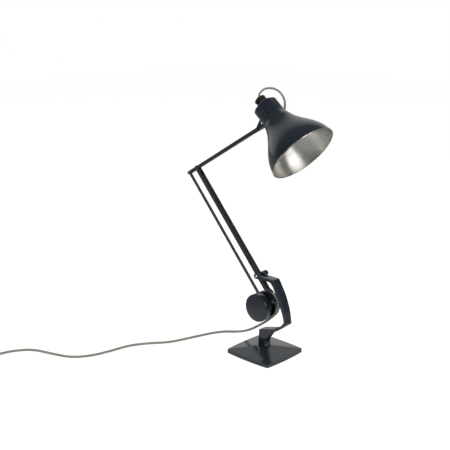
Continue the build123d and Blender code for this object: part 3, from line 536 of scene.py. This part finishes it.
def spun_shade(outside, lining, rim):
    """Spun bell with its collar, satin inside and a rolled bead."""
    curve_points = 48
    inside_r = rim_r - bell_wall
    collar_r = neck_r - collar_in
    top = bell_high + collar_high
    top_r = collar_r - collar_high * taper - collar_gap
    lip = (lip_high, rim_r - lip_in)
    outer = curve_profile((mouth_high, rim_r), lip, waist, (bell_high, neck_r), curve_points)
    outer += [(bell_high, collar_r), (top, top_r), (top, top_r - bell_wall)]
    inner = [(top, top_r - bell_wall)] + curve_profile(
        (bell_high - bell_wall, neck_r - bell_wall), inner_waist, (inner_lip_high, inside_r - lip_in),
        (mouth_high, inside_r), curve_points)
    bead_angles = [math.radians(10 + 28 * step) for step in range(10)]
    bead = [(bead_high + bead_r * math.cos(a), rim_r + bead_r * math.sin(a)) for a in bead_angles]
    shape = bmesh.new()
    spin_profile(shape, outer, 0)
    spin_profile(shape, inner, 1)
    spin_profile(shape, bead, 2)
    lay_uv(shape)
    finish_shell(shape)
    return from_bmesh("spun_shade", shape, [outside, lining, rim])


def square_reach(half, corner, angle):
    """Distance from the middle of a square with round corners to its outline, at an angle."""
    across, up = abs(math.cos(angle)), abs(math.sin(angle))
    inset = half - corner
    flat = half / max(across, up)
    if flat * min(across, up) <= inset:
        return flat
    along = inset * (across + up)
    return along + math.sqrt(along * along - 2 * inset * inset + corner * corner)


def soft_housing(finish):
    """Housing that grows out of the bell: square with broad corners, and flat under the bracket's foot."""
    blend_steps = 10
    blend_at = [(bell_high + housing_blend * step / blend_steps, 0.0) for step in range(blend_steps + 1)]
    shoulder = housing_top - housing_edge
    edge_angles = [math.radians(15 * step) for step in range(7)]
    edge_at = [(shoulder + housing_edge * math.sin(a), housing_edge * (1 - math.cos(a))) for a in edge_angles]
    inside = [(shoulder, bell_wall)] + [(high, bell_wall) for high, _ in reversed(blend_at)]
    shape = bmesh.new()

    def ring(high, inset, radius=None):
        """Points of the outline at a height, drawn in by the inset, or of a plain circle with that radius."""
        turned = 1 - (1 - min(1.0, (high - bell_high) / housing_blend)) ** 2
        flat = max(housing_half, neck_r - (high - bell_high) * taper) - inset
        verts = []
        for step in range(steps_round):
            angle = math.tau * step / steps_round
            reach = radius or (1 - turned) * (neck_r - inset) + turned * square_reach(
                housing_broad - inset, housing_corner - inset, angle)
            across = reach * math.cos(angle)
            if not radius:
                across = min(across, flat)
            verts.append(shape.verts.new((high, across, reach * math.sin(angle))))
        return verts

    rings = [ring(high, inset) for high, inset in blend_at + edge_at]
    rings += [ring(housing_top, 0, holder_r), ring(housing_top - bell_wall, 0, holder_r)]
    rings += [ring(high, inset) for high, inset in inside]
    for here, there in zip(rings, rings[1:] + rings[:1]):
        for step in range(steps_round):
            after = (step + 1) % steps_round
            shape.faces.new((here[step], here[after], there[after], there[step]))
    finish_shell(shape)
    return from_bmesh("soft_housing", shape, [finish], math.radians(50))


def pearl_bulb(glass):
    """Pearl bulb, a round envelope drawn into its neck."""
    ball_steps = 24
    ball_end = math.pi / 2 + math.radians(39)
    angles = [ball_end * step / ball_steps for step in range(ball_steps + 1)]
    ball = [(bulb_middle - bulb_r * math.cos(a), bulb_r * math.sin(a)) for a in angles]
    end = ball[-1]
    lean_out = (end[0] + 0.0046, end[1] - 0.0037)
    lean_in = (bulb_neck[0] - 0.0062, bulb_neck[1])
    shoulder = curve_profile(end, lean_out, lean_in, bulb_neck, 14)
    shape = bmesh.new()
    spin_profile(shape, ball + shoulder[1:], 0)
    finish_shell(shape)
    return from_bmesh("pearl_bulb", shape, [glass])


def cap_bush(finish):
    """Rubber bush in the lampholder cap's hole, round the flex."""
    shape = bmesh.new()
    profile = [(cap_top - 0.0024, 0.0025), (cap_top - 0.0024, 0.0059), (cap_top + 0.0002, 0.0059),
               (cap_top + 0.0012, 0.0052), (cap_top + 0.0016, 0.0038), (cap_top + 0.0014, 0.0025),
               (cap_top - 0.0024, 0.0025)]
    spin_profile(shape, profile, 0)
    finish_shell(shape)
    return from_bmesh("cap_bush", shape, [finish])


# Cords first
set_camera()
mains_route = mains_hanging + [(x, y, flex_d / 2) for x, y in mains_lying] + coil_route()
mains_lead, mains_path, mains_long = lead("mains_lead", mains_route, flex_d, braid("mains_braid", 0.0100, 8))
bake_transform(mains_lead)
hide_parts("mains_flex", "flex_coil")
head_lead, head_path, head_long = lead("head_lead", head_route, head_flex_d, braid("head_braid", 0.0088, 7))
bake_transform(head_lead)
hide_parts("head_flex")

# Finishes on the frame
cast = enamel("cast_enamel", 70, 0.00012, 0.10)
tube = enamel("arm_enamel", 120, 0.00002, 0.11)
hood = spun_enamel()
steel = metal("plain_steel", (0.22, 0.21, 0.20), (0.48, 0.47, 0.45), 0.30)
plated = metal("bright_plate", (0.50, 0.49, 0.47), (0.80, 0.79, 0.77), 0.16)
dark_steel = metal("dark_steel", (0.095, 0.094, 0.092), (0.21, 0.207, 0.20), 0.36, (1, 1, 0.05), link_turn)
brass = metal("brass", (0.30, 0.20, 0.09), (0.72, 0.52, 0.26), 0.26)
moulding = bakelite()
gum = rubber()
glass = pearl_glass()
slot_finish = {
    "iron_enamel": cast, "arm_enamel": tube, "shade_enamel": hood, "felt": felt(), "steel": steel,
    "bright_steel": plated, "link_steel": dark_steel, "brass": brass, "bakelite": moulding, "rubber": gum,
    "opal_glass": glass, "flex": mains_lead.data.materials[0]}
for part in frame["record"]["subparts"]:
    node = nodes[part["node"]]
    node.data.materials.clear()
    node.data.materials.append(slot_finish[part["material_slot"]])
for name in ("tilt_screw", "tilt_nut", "crank_pin", "elbow_pin"):
    nodes[name].data.materials[0] = dark_steel

# Pieces that stand for the frame's, or join it
shade = spun_shade(hood, satin_lining(), rim_metal())
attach(shade, "head")
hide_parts("shade_bell")
housing = soft_housing(hood)
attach(housing, "head")
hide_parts("neck_housing")
bulb = pearl_bulb(glass)
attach(bulb, "head")
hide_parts("bulb_glass")
bush = cap_bush(gum)
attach(bush, "head")


# Floor, light
def seen_directly(tree):
    """1 for rays from the camera, off gloss or through glass."""
    path = add_node(tree, "LightPath", {}).outputs
    total = path["Is Camera Ray"]
    for name in ("Is Glossy Ray", "Is Transmission Ray"):
        total = add_node(tree, "Math", {0: total, 1: path[name]}, operation="MAXIMUM").outputs[0]
    return total


def paper_floor():
    """White paper under the lamp, which keeps its soft shadow. Gloss sees it lit round the foot only."""
    shape = bmesh.new()
    bmesh.ops.create_grid(shape, x_segments=1, y_segments=1, size=floor_half)
    paper = bpy.data.materials.new("paper")
    paper.use_nodes = True
    tree = paper.node_tree
    tree.nodes.clear()
    bounce = add_node(tree, "BsdfDiffuse", {"Color": (0.8, 0.8, 0.8, 1)}).outputs[0]
    faint = add_node(tree, "BsdfDiffuse", {"Color": (0.34, 0.34, 0.34, 1)}).outputs[0]
    spot = add_node(tree, "NewGeometry", {}).outputs["Position"]
    far = add_node(tree, "VectorMath", {0: spot}, operation="LENGTH").outputs["Value"]
    pool = add_node(tree, "MapRange", {
        "Value": far, "From Min": 0.24, "From Max": 0.44, "To Min": 0.50, "To Max": 0.10}).outputs[0]
    shiny = add_node(tree, "LightPath", {}).outputs["Is Glossy Ray"]
    level = add_node(tree, "MapRange", {"Value": shiny, "To Min": 0.80, "To Max": pool}).outputs[0]
    glow = add_node(tree, "Emission", {"Strength": level}).outputs[0]
    shown = add_node(tree, "AddShader", {0: faint, 1: glow}).outputs[0]
    choice = add_node(tree, "MixShader", {0: seen_directly(tree), 1: bounce, 2: shown}).outputs[0]
    add_node(tree, "OutputMaterial", {0: choice})
    floor = from_bmesh("paper_floor", shape, [paper])


def white_room(fill, shade):
    """A white surround at the fill level. Gloss sees it bright on one side and shaded on the others."""
    world = bpy.data.worlds.new("room")
    scene.world = world
    world.use_nodes = True
    tree = world.node_tree
    way = add_node(tree, "TexCoord", {}).outputs["Generated"]
    bright = add_node(tree, "VectorMath", {0: way, 1: light_side}, operation="DOT_PRODUCT").outputs["Value"]
    gloss = add_node(tree, "MapRange", {
        "Value": bright, "From Min": 0.38, "From Max": 0.74, "To Min": shade, "To Max": 0.80},
        interpolation_type="SMOOTHSTEP").outputs[0]
    shiny = add_node(tree, "LightPath", {}).outputs["Is Glossy Ray"]
    seen = add_node(tree, "Mix", {0: shiny, 2: 1.0, 3: gloss}).outputs[0]
    level = add_node(tree, "Mix", {0: seen_directly(tree), 2: fill, 3: seen}).outputs[0]
    tree.links.new(level, tree.nodes["Background"].inputs["Strength"])
    tree.nodes["Background"].inputs["Color"].default_value = (1, 1, 1, 1)


def soft_lamp(name, spot, aim, size, power, glossy):
    """Round lamp that looks from one spot to another. Gloss reflects it only where glossy is set."""
    light = bpy.data.lights.new(name, "AREA")
    light.shape = "DISK"
    light.size = size
    light.energy = power
    lamp = bpy.data.objects.new(name, light)
    scene.collection.objects.link(lamp)
    lamp.visible_glossy = glossy
    lamp.location = spot
    lamp.rotation_euler = (Vector(aim) - Vector(spot)).to_track_quat("-Z", "Y").to_euler()


paper_floor()
white_room(room_fill, room_shade)
soft_lamp("key", spot=(-1.6, -1.9, 2.3), aim=(-0.05, 0, 0.3), size=1.6, power=38, glossy=False)
soft_lamp("mouth", spot=(2.0, -0.45, 1.5), aim=(0.05, 0, 0.5), size=1.9, power=32, glossy=True)
scene.view_settings.view_transform = "Standard"
